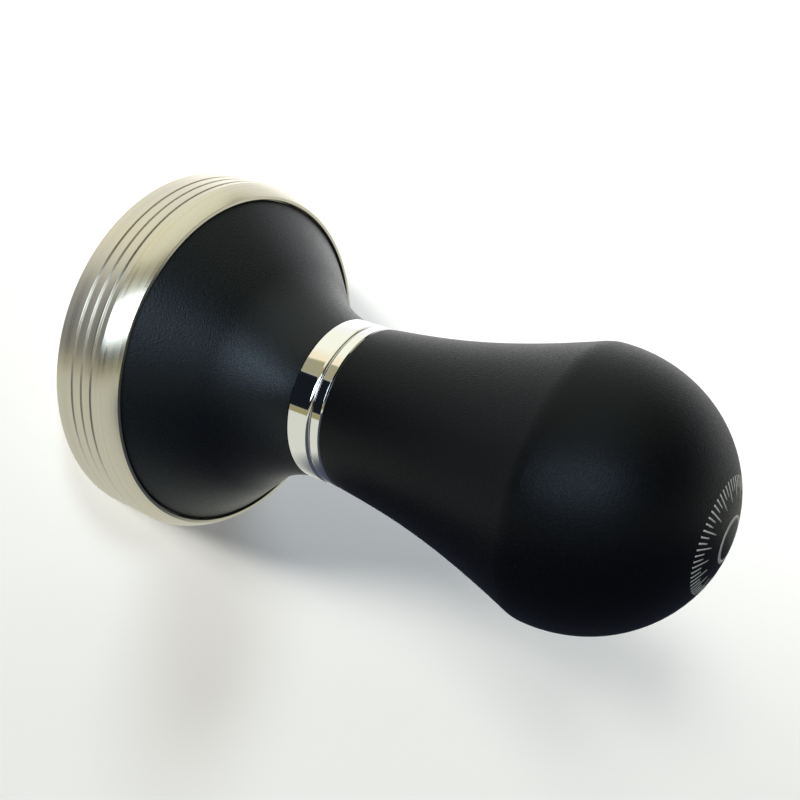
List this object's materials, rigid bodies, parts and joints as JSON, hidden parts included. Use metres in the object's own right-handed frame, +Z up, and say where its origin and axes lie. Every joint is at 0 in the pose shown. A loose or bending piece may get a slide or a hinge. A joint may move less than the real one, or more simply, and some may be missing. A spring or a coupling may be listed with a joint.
{
  "type": "espresso tamper",
  "caption": "Hand espresso tamper with a grooved steel piston, a black flared skirt, a polished collar and a black knob grip that unscrews from the piston.",
  "frame": {"origin": "centre of the flat tamping face, the lowest face of the upright tamper", "axes": "+Z up along the turning axis, from the piston to the knob; X and Y are free, because the outside is a body of revolution"},
  "size_m": [0.058, 0.058, 0.0917],
  "materials": {
    "turned_steel": "fine turned lines round the axis, satin",
    "black_rubber": "matt",
    "black_anodised": "bead-blasted and black anodised, soft matt",
    "polished_chrome": "mirror polished",
    "zinc_steel": "bright zinc plate",
    "spring_steel": "oiled spring steel"
  },
  "bodies": {
    "piston": {"piston_base": "turned_steel"},
    "seal": {"friction_ring": "black_rubber"},
    "handle": {"flare_skirt": "black_anodised", "collar_ring": "polished_chrome", "handle_grip": "black_anodised", "tie_stud": "zinc_steel", "clamp_nut": "zinc_steel", "spring_washer": "spring_steel", "plain_washer": "zinc_steel"}
  },
  "joints": [
    {"name": "unscrew_lift", "type": "slide", "parent": "piston", "child": "seal", "axis": [0, 0, 1], "range_m": [0, 0.0075]},
    {"name": "unscrew_turn", "type": "hinge", "parent": "seal", "child": "handle", "pos_m": [0, 0, 0.0105], "axis": [0, 0, 1], "range_deg": [0, 2160]}
  ],
  "couplings": [
    {"joint": "unscrew_turn", "follows": "unscrew_lift", "rad_per_m": 5026.5}
  ]
}
